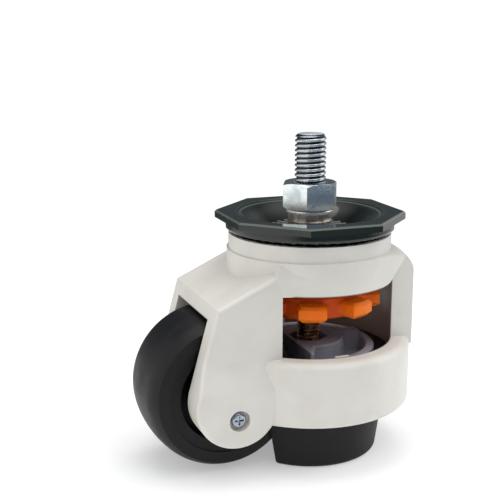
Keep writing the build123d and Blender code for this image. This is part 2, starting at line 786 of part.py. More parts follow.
with BuildPart() as pad_rubber:
    # tapered rubber cup with a thick sole, moulded round the core
    with BuildSketch(Plane.XZ):
        with BuildLine():
            Polyline(
                (0, 0),
                (pad_bottom_radius, 0),
                (pad_top_radius, pad_cone_height),
                (pad_top_radius, pad_height),
                (0, pad_height),
                close=True,
            )
        make_face()
    revolve(axis=Axis.Z)
    fillet(pad_rubber.edges().filter_by(GeomType.CIRCLE).sort_by(Axis.Z)[0], radius=pad_edge_round)
    with BuildPart(mode=Mode.PRIVATE) as cavity:
        with BuildSketch(Plane.XZ):
            with BuildLine():
                Polyline(
                    (0, pad_sole_thickness),
                    (core_bottom_radius + fit_gap, pad_sole_thickness),
                    (core_radius + fit_gap, core_floor),
                    (0, core_floor),
                    close=True,
                )
            make_face()
        revolve(axis=Axis.Z)
        with Locations((-notch_front - fit_gap, 0, 0)):
            Box(
                2 * pad_top_radius,
                2 * pad_top_radius,
                2 * pad_height,
                align=(Align.MIN, Align.CENTER, Align.CENTER),
                mode=Mode.INTERSECT,
            )
        with BuildSketch(Plane.XY.offset(core_floor)):
            Circle(core_radius + fit_gap)
        extrude(amount=pad_height - core_floor)
    add(cavity.part, mode=inside)
    # the wheel's notch, and the two grooves that the housing's keys run in
    with BuildSketch(Plane.XY):
        with Locations((-notch_front, 0)):
            Rectangle(pad_top_radius, 2 * bay_half_width, align=(Align.MAX, Align.CENTER))
        for side in (1, -1):
            with Locations((0, side * foot_bore_radius)):
                Rectangle(key_width + 2 * slip_gap, 2 * (key_depth + slip_gap))
    extrude(amount=pad_height, mode=inside)
pad_rubber.part.label = "pad_rubber"
export_step(pad_rubber.part, "parts/pad_rubber.step")

with BuildPart() as spindle_nut:
    # hexagon nut let into the core, a flat towards the wheel
    with BuildSketch(Plane.XY.offset(spindle_nut_bottom)):
        RegularPolygon(spindle_nut_flats / 2, 6, major_radius=False, rotation=30.0)
        Circle(spindle_radius + running_gap, mode=inside)
    extrude(amount=spindle_nut_height)
spindle_nut.part.label = "spindle_nut"
export_step(spindle_nut.part, "parts/spindle_nut.step")

# ---------------------------------------------------------------- wheel and axle
with BuildPart() as wheel_tread:
    # crowned rubber tread with broad rounded shoulders
    with BuildSketch(wheel_section):
        with BuildLine():
            shoulder = wheel_width / 2 - tread_corner
            crown = ThreePointArc(
                (-shoulder, wheel_radius - tread_crown),
                (0, wheel_radius),
                (shoulder, wheel_radius - tread_crown),
            )
            right = TangentArc(
                crown @ 1,
                (wheel_width / 2, wheel_radius - tread_drop),
                tangent=crown % 1,
            )
            left = TangentArc(
                crown @ 0,
                (-wheel_width / 2, wheel_radius - tread_drop),
                tangent=-(crown % 0),
            )
            Polyline(
                right @ 1,
                (wheel_width / 2, tread_inner_radius),
                (-wheel_width / 2, tread_inner_radius),
                left @ 1,
            )
        make_face()
    revolve(axis=Axis(wheel_section.origin, wheel_section.x_dir))
wheel_tread.part.label = "wheel_tread"
export_step(wheel_tread.part, "parts/wheel_tread.step")

with BuildPart() as wheel_core:
    # moulded core: rim under the tread, web and hub
    with BuildSketch(axle_line):
        Circle(tread_inner_radius - fit_gap)
        Circle(bush_radius + fit_gap, mode=inside)
    extrude(amount=bush_outer_end, both=True)
    for side in (1, -1):
        with BuildSketch(axle_line.offset(side * web_thickness / 2)):
            Circle(tread_inner_radius - rim_thickness)
            Circle(wheel_hub_radius, mode=inside)
        extrude(amount=side * (bush_outer_end - web_thickness / 2), mode=inside)
wheel_core.part.label = "wheel_core"
export_step(wheel_core.part, "parts/wheel_core.step")

for side, name in ((-1, "near"), (1, "far")):
    with BuildPart() as wheel_bush:
        # plain bearing pressed into this end of the hub
        with BuildSketch(axle_line.offset(side * bush_outer_end)):
            Circle(bush_radius)
            Circle(axle_radius + running_gap, mode=inside)
        extrude(amount=-side * bush_length)
    wheel_bush.part.label = f"wheel_bush_{name}"
    export_step(wheel_bush.part, f"parts/wheel_bush_{name}.step")

    with BuildPart() as axle_washer:
        # loose washer between the hub and this cheek
        with BuildSketch(axle_line.offset(side * (bush_outer_end + seat_gap))):
            Circle(axle_washer_radius)
            Circle(axle_radius + running_gap, mode=inside)
        extrude(amount=side * washer_thickness)
    axle_washer.part.label = f"axle_washer_{name}"
    export_step(axle_washer.part, f"parts/axle_washer_{name}.step")

with BuildPart() as axle_pin:
    # slotted head sunk in the far cheek, plain shaft, tapped off centre at the near end
    with BuildSketch(axle_line.offset(-axle_near_end)):
        Circle(axle_radius)
    extrude(amount=axle_near_end + cheek_half_width - axle_head_thickness)
    with BuildSketch(axle_line.offset(cheek_half_width - axle_head_thickness)):
        Circle(axle_head_radius)
    extrude(amount=axle_head_thickness)
    with BuildSketch(axle_line.offset(cheek_half_width)):
        Rectangle(2 * axle_head_radius, axle_slot_width)
    extrude(amount=-axle_head_thickness / 2, mode=inside)
    with BuildSketch(axle_line.offset(-axle_near_end)):
        with Locations((0, axle_screw_offset)):
            Circle(axle_screw_radius + fit_gap)
    extrude(amount=axle_screw_length - (screw_seat - axle_near_end) + slip_gap, mode=inside)
axle_pin.part.label = "axle_pin"
export_step(axle_pin.part, "parts/axle_pin.step")

with BuildPart() as axle_screw:
    # small cross-recessed screw that keeps the axle from turning
    with BuildSketch(axle_line.offset(-screw_seat)):
        with Locations((0, axle_screw_offset)):
            Circle(axle_screw_head_radius)
    extrude(amount=-axle_screw_head_height)
    fillet(axle_screw.edges().sort_by(Axis.Y)[0], radius=axle_screw_head_height / 2)
    with BuildSketch(axle_line.offset(-screw_seat - axle_screw_head_height)):
        with Locations((0, axle_screw_offset)):
            Rectangle(1.2 * axle_screw_head_radius, axle_screw_head_radius / 4)
            Rectangle(axle_screw_head_radius / 4, 1.2 * axle_screw_head_radius)
    extrude(amount=axle_screw_head_height / 2, mode=inside)
    with BuildSketch(axle_line.offset(-screw_seat)):
        with Locations((0, axle_screw_offset)):
            Circle(axle_screw_radius)
    extrude(amount=axle_screw_length)
axle_screw.part.label = "axle_screw"
export_step(axle_screw.part, "parts/axle_screw.step")
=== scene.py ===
"""Dresses a small levelling castor: finishes, threads, studio and camera.

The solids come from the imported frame, and this file gives each of them its finish. It also
makes the threaded stem and spindle, the washer with its rounded rim and the turned-in edge of
the cover's skirt. Sizes are millimetres unless they say otherwise; the scene is in metres.
"""
import json
import logging
import math
from abc import ABC, abstractmethod
from contextlib import contextmanager
from dataclasses import dataclass
from enum import Enum
from functools import cached_property
from typing import Any, Callable, Iterator, Optional, Sequence, Union

import bpy
from mathutils import Matrix, Vector


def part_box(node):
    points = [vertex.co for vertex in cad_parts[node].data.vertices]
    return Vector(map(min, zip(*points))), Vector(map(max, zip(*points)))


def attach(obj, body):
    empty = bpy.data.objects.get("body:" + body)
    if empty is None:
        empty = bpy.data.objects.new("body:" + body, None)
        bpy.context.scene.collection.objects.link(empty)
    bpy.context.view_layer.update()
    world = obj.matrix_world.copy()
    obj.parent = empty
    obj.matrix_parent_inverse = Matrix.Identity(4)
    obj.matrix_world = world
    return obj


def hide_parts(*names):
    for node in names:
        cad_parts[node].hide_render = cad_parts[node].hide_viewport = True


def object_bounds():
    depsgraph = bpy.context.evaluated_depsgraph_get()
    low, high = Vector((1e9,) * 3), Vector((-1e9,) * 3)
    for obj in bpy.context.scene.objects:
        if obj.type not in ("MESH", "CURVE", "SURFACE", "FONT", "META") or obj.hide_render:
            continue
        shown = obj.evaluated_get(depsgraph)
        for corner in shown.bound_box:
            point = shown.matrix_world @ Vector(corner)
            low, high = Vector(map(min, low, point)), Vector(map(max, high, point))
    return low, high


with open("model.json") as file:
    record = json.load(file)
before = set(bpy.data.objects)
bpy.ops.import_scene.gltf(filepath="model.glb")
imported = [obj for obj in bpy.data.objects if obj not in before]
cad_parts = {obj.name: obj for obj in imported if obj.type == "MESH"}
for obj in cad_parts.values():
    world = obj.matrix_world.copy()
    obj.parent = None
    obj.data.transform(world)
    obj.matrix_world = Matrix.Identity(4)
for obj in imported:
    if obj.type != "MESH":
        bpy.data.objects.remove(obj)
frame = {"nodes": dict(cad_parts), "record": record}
CAD_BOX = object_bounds()
MM = 0.001

log = logging.getLogger("castor")

Colour = tuple[float, float, float]
Place = tuple[float, float, float]


# ---------------------------------------------------------------- the frame's sizes
def levels(node: str) -> tuple[float, float]:
    """The levels of a solid's lowest and highest points, in millimetres."""
    low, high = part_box(node)
    return low.z / MM, high.z / MM


def reach(node: str) -> float:
    """How far a solid reaches from the swivel axis to the front, in millimetres."""
    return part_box(node)[1].x / MM


def joint_place(name: str) -> Vector:
    """A point on the axis of one of the record's joints, in metres."""
    joints = frame["record"]["behaviour"]["joints"]
    return Vector(next(joint["pos_m"] for joint in joints if joint["name"] == name))


# ---------------------------------------------------------------- shader building
def srgb(red: int, green: int, blue: int) -> Colour:
    """Turns a display colour into the linear colour that shaders take.

    Args:
        red: Red, 0 to 255.
        green: Green, 0 to 255.
        blue: Blue, 0 to 255.

    Returns:
        The linear colour.
    """
    def linear(value: int) -> float:
        """One channel, by the usual display curve."""
        share = value / 255.0
        return share / 12.92 if share <= 0.04045 else ((share + 0.055) / 1.055) ** 2.4

    return (linear(red), linear(green), linear(blue))


@dataclass(frozen=True)
class Band:
    """A stretch of a length, in millimetres, with soft ends; an open end is None."""

    low: Optional[float] = None
    high: Optional[float] = None
    ease: float = 0.15


@dataclass(frozen=True)
class Mottle:
    """Soft patches: their size in millimetres, how many finer layers they have, and the levels
    of the noise at which they start and are whole.
    """

    size: float
    layers: float
    low: float
    high: float


class Signal:
    """A number inside a material: a socket that adds Math nodes when it is calculated with."""

    def __init__(self, graph: "Graph", socket: bpy.types.NodeSocket) -> None:
        """Wraps an output socket of one of the graph's nodes."""
        self.graph = graph
        self.socket = socket

    def _with(self, operation: str, first: Any, second: Any) -> "Signal":
        """Adds a Math node for two values and returns its result."""
        return self.graph.node("ShaderNodeMath", {"operation": operation}, {0: first, 1: second})

    def __add__(self, other: Any) -> "Signal":
        """self + other."""
        return self._with("ADD", self, other)

    def __radd__(self, other: Any) -> "Signal":
        """other + self."""
        return self._with("ADD", other, self)

    def __sub__(self, other: Any) -> "Signal":
        """self - other."""
        return self._with("SUBTRACT", self, other)

    def __rsub__(self, other: Any) -> "Signal":
        """other - self."""
        return self._with("SUBTRACT", other, self)

    def __mul__(self, other: Any) -> "Signal":
        """self * other."""
        return self._with("MULTIPLY", self, other)

    def __rmul__(self, other: Any) -> "Signal":
        """other * self."""
        return self._with("MULTIPLY", other, self)

    def __pow__(self, power: float) -> "Signal":
        """self raised to a power."""
        return self._with("POWER", self, power)


Value = Union[float, Colour, Sequence[float], Signal]


class Graph:
    """The nodes of a material or of a world."""

    NOISE_ROUGHNESS = 0.55
    # the sockets of a Mix node that blends colours
    MIX_FIRST, MIX_SECOND, MIX_RESULT = 6, 7, 2

    def __init__(self, owner: Union[bpy.types.Material, bpy.types.World]) -> None:
        """Opens the nodes of a material or a world.

        Args:
            owner: What the nodes belong to.
        """
        owner.use_nodes = True
        self.owner = owner
        self.tree = owner.node_tree

    @classmethod
    def named(cls, name: str) -> "Graph":
        """Starts a material that holds only its shader and its output."""
        return cls(bpy.data.materials.new(name))

    def node(
        self,
        kind: str,
        settings: Optional[dict[str, Any]] = None,
        inputs: Optional[dict[Union[int, str], Value]] = None,
        output: Union[int, str] = 0,
    ) -> Signal:
        """Adds any node.

        Args:
            kind: The node's type.
            settings: Properties set before the sockets.
            inputs: Values or signals for the node's sockets, by index or name.
            output: Which output to return.

        Returns:
            The chosen output.
        """
        made = self.tree.nodes.new(kind)
        for key, value in (settings or {}).items():
            setattr(made, key, value)
        for key, value in (inputs or {}).items():
            self.plug(made.inputs[key], value)
        return Signal(self, made.outputs[output])

    def plug(self, socket: bpy.types.NodeSocket, value: Value) -> None:
        """Links a signal to a socket, or sets the socket's own value.

        Args:
            socket: The input socket.
            value: A signal, a number, or a colour or vector; a colour is opaque.
        """
        if isinstance(value, Signal):
            self.tree.links.new(value.socket, socket)
        elif isinstance(value, (int, float)):
            socket.default_value = value
        else:
            opaque = (1.0,) if socket.type == "RGBA" else ()
            socket.default_value = tuple(value) + opaque

    def finish(self, **sockets: Value) -> bpy.types.Material:
        """Fills sockets of the Principled shader; an underscore stands for a space.

        Args:
            **sockets: Values or signals by socket name, such as Base_Color.

        Returns:
            The material.
        """
        shader = self.tree.nodes["Principled BSDF"]
        for name, value in sockets.items():
            self.plug(shader.inputs[name.replace("_", " ")], value)
        return self.owner

    @cached_property
    def place(self) -> Signal:
        """The point on the surface, in metres."""
        return self.node("ShaderNodeTexCoord", output="Object")

    @cached_property
    def axes(self) -> tuple[Signal, Signal, Signal]:
        """The surface point's X, Y and Z, each a signal.

        Returns:
            The three signals.
        """
        first = self.node("ShaderNodeSeparateXYZ", inputs={0: self.place})
        split = first.socket.node.outputs
        return first, Signal(self, split[1]), Signal(self, split[2])

    @staticmethod
    def length(first: Signal, second: Signal) -> Signal:
        """The distance from the origin of a plane to a point in it."""
        return (first * first + second * second) ** 0.5

    def noise(self, grain: float, layers: float, at: Optional[Signal] = None) -> Signal:
        """Soft noise.

        Args:
            grain: Size of its features in millimetres.
            layers: Number of finer layers.
            at: Where it is read; the surface point if left out.

        Returns:
            A signal about 0.5.
        """
        return self.node(
            "ShaderNodeTexNoise",
            inputs={
                "Vector": self.place if at is None else at,
                "Scale": 1.0 / (grain * MM),
                "Detail": layers,
                "Roughness": self.NOISE_ROUGHNESS,
            },
            output="Fac",
        )

    def mottle(self, pattern: Mottle) -> Signal:
        """Soft patches, 0 between them and 1 where they are whole."""
        return self.steps(self.noise(pattern.size, pattern.layers), pattern.low, pattern.high)

    def lathe(self, axis: "TurnedAbout", grain: float) -> Signal:
        """Fine rings about an axis, as a turning tool leaves them.

        Args:
            axis: The axis that they run round.
            grain: Spacing in millimetres.

        Returns:
            A signal about 0.5.
        """
        along, out = axis.measure(self)
        rings = self.node("ShaderNodeCombineXYZ", inputs={0: out, 1: along})
        return self.noise(grain, layers=3.0, at=rings)

    def steps(self, signal: Signal, low: float, high: float) -> Signal:
        """Stretches a part of a signal over 0 to 1, softly at both ends.

        Args:
            signal: The signal.
            low: Where it comes to 0.
            high: Where it comes to 1.

        Returns:
            The stretched signal.
        """
        return self.node(
            "ShaderNodeMapRange",
            {"clamp": True, "interpolation_type": "SMOOTHSTEP"},
            {"Value": signal, "From Min": low, "From Max": high},
        )

    def over(self, signal: Signal, level: float, ease: float) -> Signal:
        """Is 1 where a length in metres is over a level in millimetres, and 0 under it."""
        return self.steps(signal, (level - ease) * MM, (level + ease) * MM)

    def within(self, signal: Signal, band: Band) -> Signal:
        """Is 1 where a length lies in a band and falls softly to 0 outside it.

        Args:
            signal: The length, in metres.
            band: The band, with one open end at most.

        Returns:
            The mask.
        """
        if band.high is None:
            return self.over(signal, band.low, band.ease)
        below = 1.0 - self.over(signal, band.high, band.ease)
        return below if band.low is None else self.over(signal, band.low, band.ease) * below

    def blend(self, share: Signal, first: Value, second: Value) -> Signal:
        """Mixes two colours.

        Args:
            share: How much of the second there is, 0 to 1.
            first: The colour where the share is 0.
            second: The colour where the share is 1.

        Returns:
            The mixed colour.
        """
        made = self.node("ShaderNodeMix", {"data_type": "RGBA"}, {0: share}, self.MIX_RESULT)
        mix = made.socket.node
        self.plug(mix.inputs[self.MIX_FIRST], first)
        self.plug(mix.inputs[self.MIX_SECOND], second)
        return made

    def bump(self, height: Signal, depth: float) -> Signal:
        """Turns a height, as a share of a depth in millimetres, into a normal."""
        return self.node(
            "ShaderNodeBump", inputs={"Height": height, "Distance": depth * MM, "Strength": 1.0}
        )


class TurnedAbout(Enum):
    """The axes that turned pieces run round, by the joint that turns about each."""

    STEM = "swivel"
    AXLE = "wheel_spin"

    def measure(self, graph: Graph) -> tuple[Signal, Signal]:
        """Measures the surface point by this axis, in metres.

        Args:
            graph: The material's nodes.

        Returns:
            The place along the axis, and the distance out from it.
        """
        x, y, z = graph.axes
        centre = joint_place(self.value)
        if self is TurnedAbout.STEM:
            return z, graph.length(x - centre.x, y - centre.y)
        return y, graph.length(x - centre.x, z - centre.z)


# ---------------------------------------------------------------- finishes
@dataclass(frozen=True)
class Finish(ABC):
    """What every finish has: its name, its colour and that of its patches, and how rough it is."""

    name: str
    colour: Colour
    shade: Colour
    roughness: float

    @abstractmethod
    def build(self) -> bpy.types.Material:
        """Makes the material."""


@dataclass(frozen=True)
class PowderCoat(Finish):
    """Baked powder paint on a casting or pressing, with its faint orange peel."""

    peel: float = 0.7
    peel_depth: float = 0.012
    peel_dulls: float = 0.08
    coat: float = 0.12
    coat_roughness: float = 0.25
    cloud: Mottle = Mottle(9.0, 3.0, 0.35, 0.7)
    speck: Mottle = Mottle(0.35, 1.0, 0.62, 0.72)
    speck_share: float = 0.12

    def tone(self, graph: Graph) -> Signal:
        """The paint's colour, with broad clouds and fine specks."""
        clouded = graph.blend(graph.mottle(self.cloud), self.colour, self.shade)
        return graph.blend(graph.mottle(self.speck) * self.speck_share, clouded, self.shade)

    def build(self) -> bpy.types.Material:
        """Makes the material.

        Returns:
            The material.
        """
        graph = Graph.named(self.name)
        peel = graph.noise(self.peel, layers=2.0)
        return graph.finish(
            Base_Color=self.tone(graph),
            Roughness=self.roughness + self.peel_dulls * peel,
            Normal=graph.bump(peel, self.peel_depth),
            Coat_Roughness=self.coat_roughness,
            Coat_Weight=self.coat,
        )


@dataclass(frozen=True)
class CastCoat(PowderCoat):
    """The powder coat of the casting, with painted shade, a darker brown, on its inner walls.

    The bands of the foot's bore count from the swivel axis and from the deck, and those of the
    wheel's bay from the axle.
    """

    # painted shade: the darker brown laid inside the foot's bore and the wheel's bay
    inner: Colour = srgb(136, 116, 105)
    bore_walls: Band = Band(21.2, 21.7)
    bore_levels: Band = Band(-31.2, 0.2)
    bay_walls: Band = Band(20.85, 21.35)
    bay_width: Band = Band(-12.0, 12.0)

    def tone(self, graph: Graph) -> Signal:
        """The coat's colour, with painted shade, a darker brown, inside the foot's bore and the wheel's
        bay.

        Args:
            graph: The material's nodes.

        Returns:
            The colour.
        """
        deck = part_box("carrier_plate")[0].z
        level, from_swivel = TurnedAbout.STEM.measure(graph)
        across, from_axle = TurnedAbout.AXLE.measure(graph)
        bore = graph.within(from_swivel, self.bore_walls) * graph.within(level - deck, self.bore_levels)
        bay = graph.within(from_axle, self.bay_walls) * graph.within(across, self.bay_width)
        # painted shade over the bore and over the bay
        painted_shade_inside = 1.0 - (1.0 - bore) * (1.0 - bay)
        return graph.blend(painted_shade_inside, super().tone(graph), self.inner)


@dataclass(frozen=True)
class CoverPaint(PowderCoat):
    """Glossy dark paint on the pressed cover: painted highlights on ribs, edge and lip; painted shade
    in the dusty bowl.

    Levels count from the cover's rim, and reaches from the swivel axis.
    """

    # painted highlight: light grey laid on the ribs, which are also made partly metallic and duller
    rib_highlight: Colour = srgb(158, 158, 154)
    # painted highlight: lighter green laid along the rim's top edge and on the bowl's lip
    edge: Colour = srgb(88, 96, 90)
    # painted shade: near-black laid in the bowl
    bowl: Colour = srgb(16, 20, 17)
    rib_levels: Band = Band(-4.65, -3.9, 0.05)
    rib_reach: Band = Band(high=10.4)
    edge_highlight_levels: Band = Band(-0.52, -0.08, 0.05)
    edge_highlight_reach: Band = Band(low=19.0)
    lip_highlight_levels: Band = Band(-3.9, -0.08, 0.05)
    lip_highlight_reach: Band = Band(17.8, 18.25)
    bowl_levels: Band = Band(-5.0, -0.08)
    bowl_shade_reach: Band = Band(high=17.0, ease=0.5)
    dust_reach: Band = Band(high=13.5, ease=2.0)
    dust_share: float = 0.7
    rib_metallic: float = 0.3
    rib_dulls: float = 0.2
    specular: float = 0.12

    def build(self) -> bpy.types.Material:
        """Makes the material.

        Returns:
            The material.
        """
        graph = Graph.named(self.name)
        level, out = TurnedAbout.STEM.measure(graph)
        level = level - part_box("top_cover")[1].z
        bowl = graph.within(level, self.bowl_levels)
        rib = graph.within(level, self.rib_levels) * graph.within(out, self.rib_reach)
        edge = graph.within(level, self.edge_highlight_levels) * graph.within(out, self.edge_highlight_reach)
        lip = graph.within(level, self.lip_highlight_levels) * graph.within(out, self.lip_highlight_reach)
        # painted shade over the bowl
        dark = bowl * graph.within(out, self.bowl_shade_reach)
        dusty = bowl * graph.within(out, self.dust_reach)
        # painted highlights along the rim's top edge and on the lip, over the bowl's painted shade
        tone = graph.blend(edge + lip, graph.blend(dark, self.tone(graph), self.bowl), self.edge)
        return graph.finish(
            # painted highlight on the ribs
            Base_Color=graph.blend(rib, tone, self.rib_highlight),
            Metallic=self.rib_metallic * rib,
            Roughness=self.roughness + self.rib_dulls * rib,
            Normal=graph.bump(graph.noise(self.peel, layers=2.0), self.peel_depth),
            Specular_IOR_Level=self.specular,
            Coat_Roughness=self.coat_roughness,
            Coat_Weight=self.coat - self.dust_share * dusty,
        )


@dataclass(frozen=True)
class Plated(Finish):
    """Bright zinc plate, a little bluish, with duller patches and handling marks."""

    axis: TurnedAbout = TurnedAbout.STEM
    metallic: float = 1.0
    patch: Mottle = Mottle(3.5, 4.0, 0.40, 0.68)
    patch_dulls: float = 0.16
    scratch: float = 0.12
    scratch_depth: float = 0.006
    scratch_dulls: float = 0.10

    def marks(self, graph: Graph, tone: Signal) -> Signal:
        """The plate's colour with what lies on it, here nothing."""
        return tone

    def metal(self, graph: Graph) -> Value:
        """How metallic the plate is."""
        return self.metallic

    def build(self) -> bpy.types.Material:
        """Makes the material.

        Returns:
            The material.
        """
        graph = Graph.named(self.name)
        patch = graph.mottle(self.patch)
        scratch = graph.lathe(self.axis, self.scratch)
        return graph.finish(
            Base_Color=self.marks(graph, graph.blend(patch, self.colour, self.shade)),
            Metallic=self.metal(graph),
            Roughness=self.roughness + self.patch_dulls * patch + self.scratch_dulls * scratch,
            Normal=graph.bump(scratch, self.scratch_depth),
        )


@dataclass(frozen=True)
class PlatedSeam(Plated):
    """Zinc plate with painted shade at the seam between the lock nut and its washer."""

    # painted shade: dark blue-grey laid at the seam
    painted_shade: Colour = srgb(52, 56, 64)
    seam: Band = Band(-0.16, 0.12, 0.06)

    def marks(self, graph: Graph, tone: Signal) -> Signal:
        """The plate's colour, with painted shade at the seam."""
        level = graph.axes[2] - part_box("lock_nut")[0].z
        return graph.blend(graph.within(level, self.seam), tone, self.painted_shade)


@dataclass(frozen=True)
class PlatedThread(Plated):
    """Zinc plate on the stem, with painted shade deep in the thread's grooves and a dull sawn end."""

    # painted shade: dark blue-grey laid deep in the thread's grooves
    painted_shade: Colour = srgb(52, 56, 64)
    sawn: Colour = srgb(206, 210, 215)
    root_shade: Band = Band(high=3.7)
    end: Band = Band(low=-0.1, ease=0.02)
    sawn_dulls: float = 0.75

    def _at_end(self, graph: Graph) -> Signal:
        """Is 1 on the stem's sawn face."""
        return graph.within(graph.axes[2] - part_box("stem_bolt")[1].z, self.end)

    def marks(self, graph: Graph, tone: Signal) -> Signal:
        """The plate's colour, with painted shade deep in the thread and grey on the sawn face.

        Args:
            graph: The material's nodes.
            tone: The clean plate's colour.

        Returns:
            The marked colour.
        """
        _, out = TurnedAbout.STEM.measure(graph)
        # painted shade deep in the thread's grooves
        root_shaded = graph.blend(graph.within(out, self.root_shade), tone, self.painted_shade)
        return graph.blend(self._at_end(graph), root_shaded, self.sawn)

    def metal(self, graph: Graph) -> Value:
        """How metallic the stem is: less on the sawn face."""
        return self.metallic - self.sawn_dulls * self._at_end(graph)


@dataclass(frozen=True)
class TurnedSteel(Finish):
    """Ground or turned metal with rings round its axis and a film of oil."""

    axis: TurnedAbout = TurnedAbout.STEM
    film: Mottle = Mottle(1.6, 3.0, 0.42, 0.62)
    ring: float = 0.10
    ring_depth: float = 0.010
    ring_dulls: float = 0.18

    def build(self) -> bpy.types.Material:
        """Makes the material.

        Returns:
            The material.
        """
        graph = Graph.named(self.name)
        rings = graph.lathe(self.axis, self.ring)
        return graph.finish(
            Base_Color=graph.blend(graph.mottle(self.film), self.colour, self.shade),
            Metallic=1.0,
            Roughness=self.roughness + self.ring_dulls * rings,
            Normal=graph.bump(rings, self.ring_depth),
        )


@dataclass(frozen=True)
class Moulded(Finish):
    """Moulded plastic: even colour, faint flow lines and a fine spark-eroded grain."""

    grain: float = 0.25
    grain_depth: float = 0.010
    grain_dulls: float = 0.12
    flow: Mottle = Mottle(5.0, 3.0, 0.35, 0.70)
    specular: float = 0.25

    def tone(self, graph: Graph) -> Signal:
        """The plastic's colour with its flow lines."""
        return graph.blend(graph.mottle(self.flow), self.colour, self.shade)

    def build(self) -> bpy.types.Material:
        """Makes the material.

        Returns:
            The material.
        """
        graph = Graph.named(self.name)
        grain = graph.noise(self.grain, layers=1.0)
        return graph.finish(
            Base_Color=self.tone(graph),
            Roughness=self.roughness + self.grain_dulls * grain,
            Normal=graph.bump(grain, self.grain_depth),
            Specular_IOR_Level=self.specular,
        )


@dataclass(frozen=True)
class MilkyNylon(Moulded):
    """Bright nylon that light sinks into, with painted shade, a deeper orange, over the drum near its
    axis.
    """

    # painted shade: deeper orange laid over the drum near the axis
    core: Colour = srgb(218, 68, 6)
    drum_shade_reach: Band = Band(high=14.2, ease=0.9)
    milky: float = 0.6
    sinks: float = 3.0
    sinks_by_colour: Colour = (1.0, 0.35, 0.1)

    def tone(self, graph: Graph) -> Signal:
        """The nylon's colour, with painted shade near the axis."""
        _, out = TurnedAbout.STEM.measure(graph)
        return graph.blend(graph.within(out, self.drum_shade_reach), super().tone(graph), self.core)

    def build(self) -> bpy.types.Material:
        """Makes the material and lets light sink into it.

        Returns:
            The material.
        """
        return Graph(super().build()).finish(
            Subsurface_Weight=self.milky,
            Subsurface_Radius=self.sinks_by_colour,
            Subsurface_Scale=self.sinks * MM,
        )


@dataclass(frozen=True)
class Rubber(Finish):
    """Black rubber or polyurethane with mould rings, a dull bloom and a fine grain."""

    axis: TurnedAbout = TurnedAbout.STEM
    bloom: Mottle = Mottle(6.0, 4.0, 0.40, 0.75)
    bloom_dulls: float = 0.12
    grain: float = 0.30
    grain_share: float = 0.6
    grain_dulls: float = 0.08
    ring: float = 0.9
    ring_share: float = 0.8
    depth: float = 0.02
    specular: float = 0.25

    def build(self) -> bpy.types.Material:
        """Makes the material.

        Returns:
            The material.
        """
        graph = Graph.named(self.name)
        bloom = graph.mottle(self.bloom)
        grain = graph.noise(self.grain, layers=2.0)
        height = self.grain_share * grain + self.ring_share * graph.lathe(self.axis, self.ring)
        return graph.finish(
            Base_Color=graph.blend(bloom, self.colour, self.shade),
            Roughness=self.roughness + self.bloom_dulls * bloom + self.grain_dulls * grain,
            Normal=graph.bump(height, self.depth),
            Specular_IOR_Level=self.specular,
        )


CREAM = CastCoat("cream_coat", srgb(222, 219, 211), srgb(217, 213, 204), 0.42)
DARK_GREEN = CoverPaint(
    "green_coat", srgb(33, 40, 35), srgb(28, 35, 30), 0.13,
    peel=0.9, peel_depth=0.003, coat=0.8, coat_roughness=0.08,
)
ZINC = Plated("zinc", srgb(226, 230, 236), srgb(196, 205, 220), 0.14)
ZINC_STEM = PlatedThread("zinc_stem", srgb(196, 201, 203), srgb(158, 166, 174), 0.16)
ZINC_NUT = PlatedSeam("zinc_nut", srgb(233, 239, 236), srgb(208, 217, 222), 0.14)
# pure white and only partly metallic, brighter than zinc plate: a painted highlight on the washer
ZINC_WASHER = PlatedSeam("zinc_washer", srgb(255, 255, 255), srgb(246, 247, 250), 0.2, metallic=0.7)
ZINC_SCREW = Plated("zinc_screw", srgb(158, 165, 178), srgb(134, 142, 156), 0.18, TurnedAbout.AXLE)
RACE_STEEL = TurnedSteel("race_steel", srgb(150, 150, 152), srgb(90, 84, 76), 0.28)
# darker than bright steel: painted shade on the balls under the cover
BALL_STEEL = TurnedSteel("ball_steel", srgb(112, 112, 116), srgb(52, 50, 48), 0.22)
AXLE_STEEL = TurnedSteel("axle_steel", srgb(172, 173, 176), srgb(154, 152, 150), 0.3, TurnedAbout.AXLE)
BRONZE = TurnedSteel("bronze", srgb(150, 105, 66), srgb(84, 58, 38), 0.38)
AXLE_BRONZE = TurnedSteel("axle_bronze", BRONZE.colour, BRONZE.shade, 0.38, TurnedAbout.AXLE)
OILED = TurnedSteel("oiled_steel", srgb(196, 170, 134), srgb(120, 96, 72), 0.24)
NECK = TurnedSteel("neck_steel", srgb(200, 194, 188), srgb(164, 154, 145), 0.24)
ORANGE = MilkyNylon(
    "orange_nylon", srgb(246, 122, 8), srgb(242, 112, 4), 0.42, grain=0.4, grain_depth=0.012
)
GREY = Moulded("grey_core", srgb(158, 159, 169), srgb(144, 145, 155), 0.4, grain=0.5, grain_depth=0.02)
BLACK_CORE = Moulded("black_core", srgb(16, 16, 18), srgb(12, 12, 14), 0.42)
TREAD = Rubber("tread_black", srgb(18, 18, 20), srgb(25, 25, 28), 0.42, TurnedAbout.AXLE)
PAD = Rubber("pad_rubber", srgb(18, 18, 20), srgb(26, 26, 29), 0.5)


class Wardrobe:
    """Makes each finish once and lays it on pieces."""

    def __init__(self) -> None:
        """Starts with no materials made."""
        self._made: dict[str, bpy.types.Material] = {}

    def lay(self, finish: Finish, *pieces: Union[str, bpy.types.Object]) -> None:
        """Gives pieces a finish.

        Args:
            finish: The finish.
            *pieces: Names of solids in the frame, or new pieces.
        """
        if finish.name not in self._made:
            self._made[finish.name] = finish.build()
        for piece in pieces:
            target = frame["nodes"][piece] if isinstance(piece, str) else piece
            target.data.materials.clear()
            target.data.materials.append(self._made[finish.name])
            log.info("%s is finished in %s", target.name, finish.name)


# ---------------------------------------------------------------- modelling
class Pick(Enum):
    """What edit mode picks."""

    POINTS = "VERT"
    FACES = "FACE"


class Work(Enum):
    """How two closed meshes are worked together."""

    JOIN = "UNION"
    CUT = "DIFFERENCE"
    MEET = "INTERSECT"


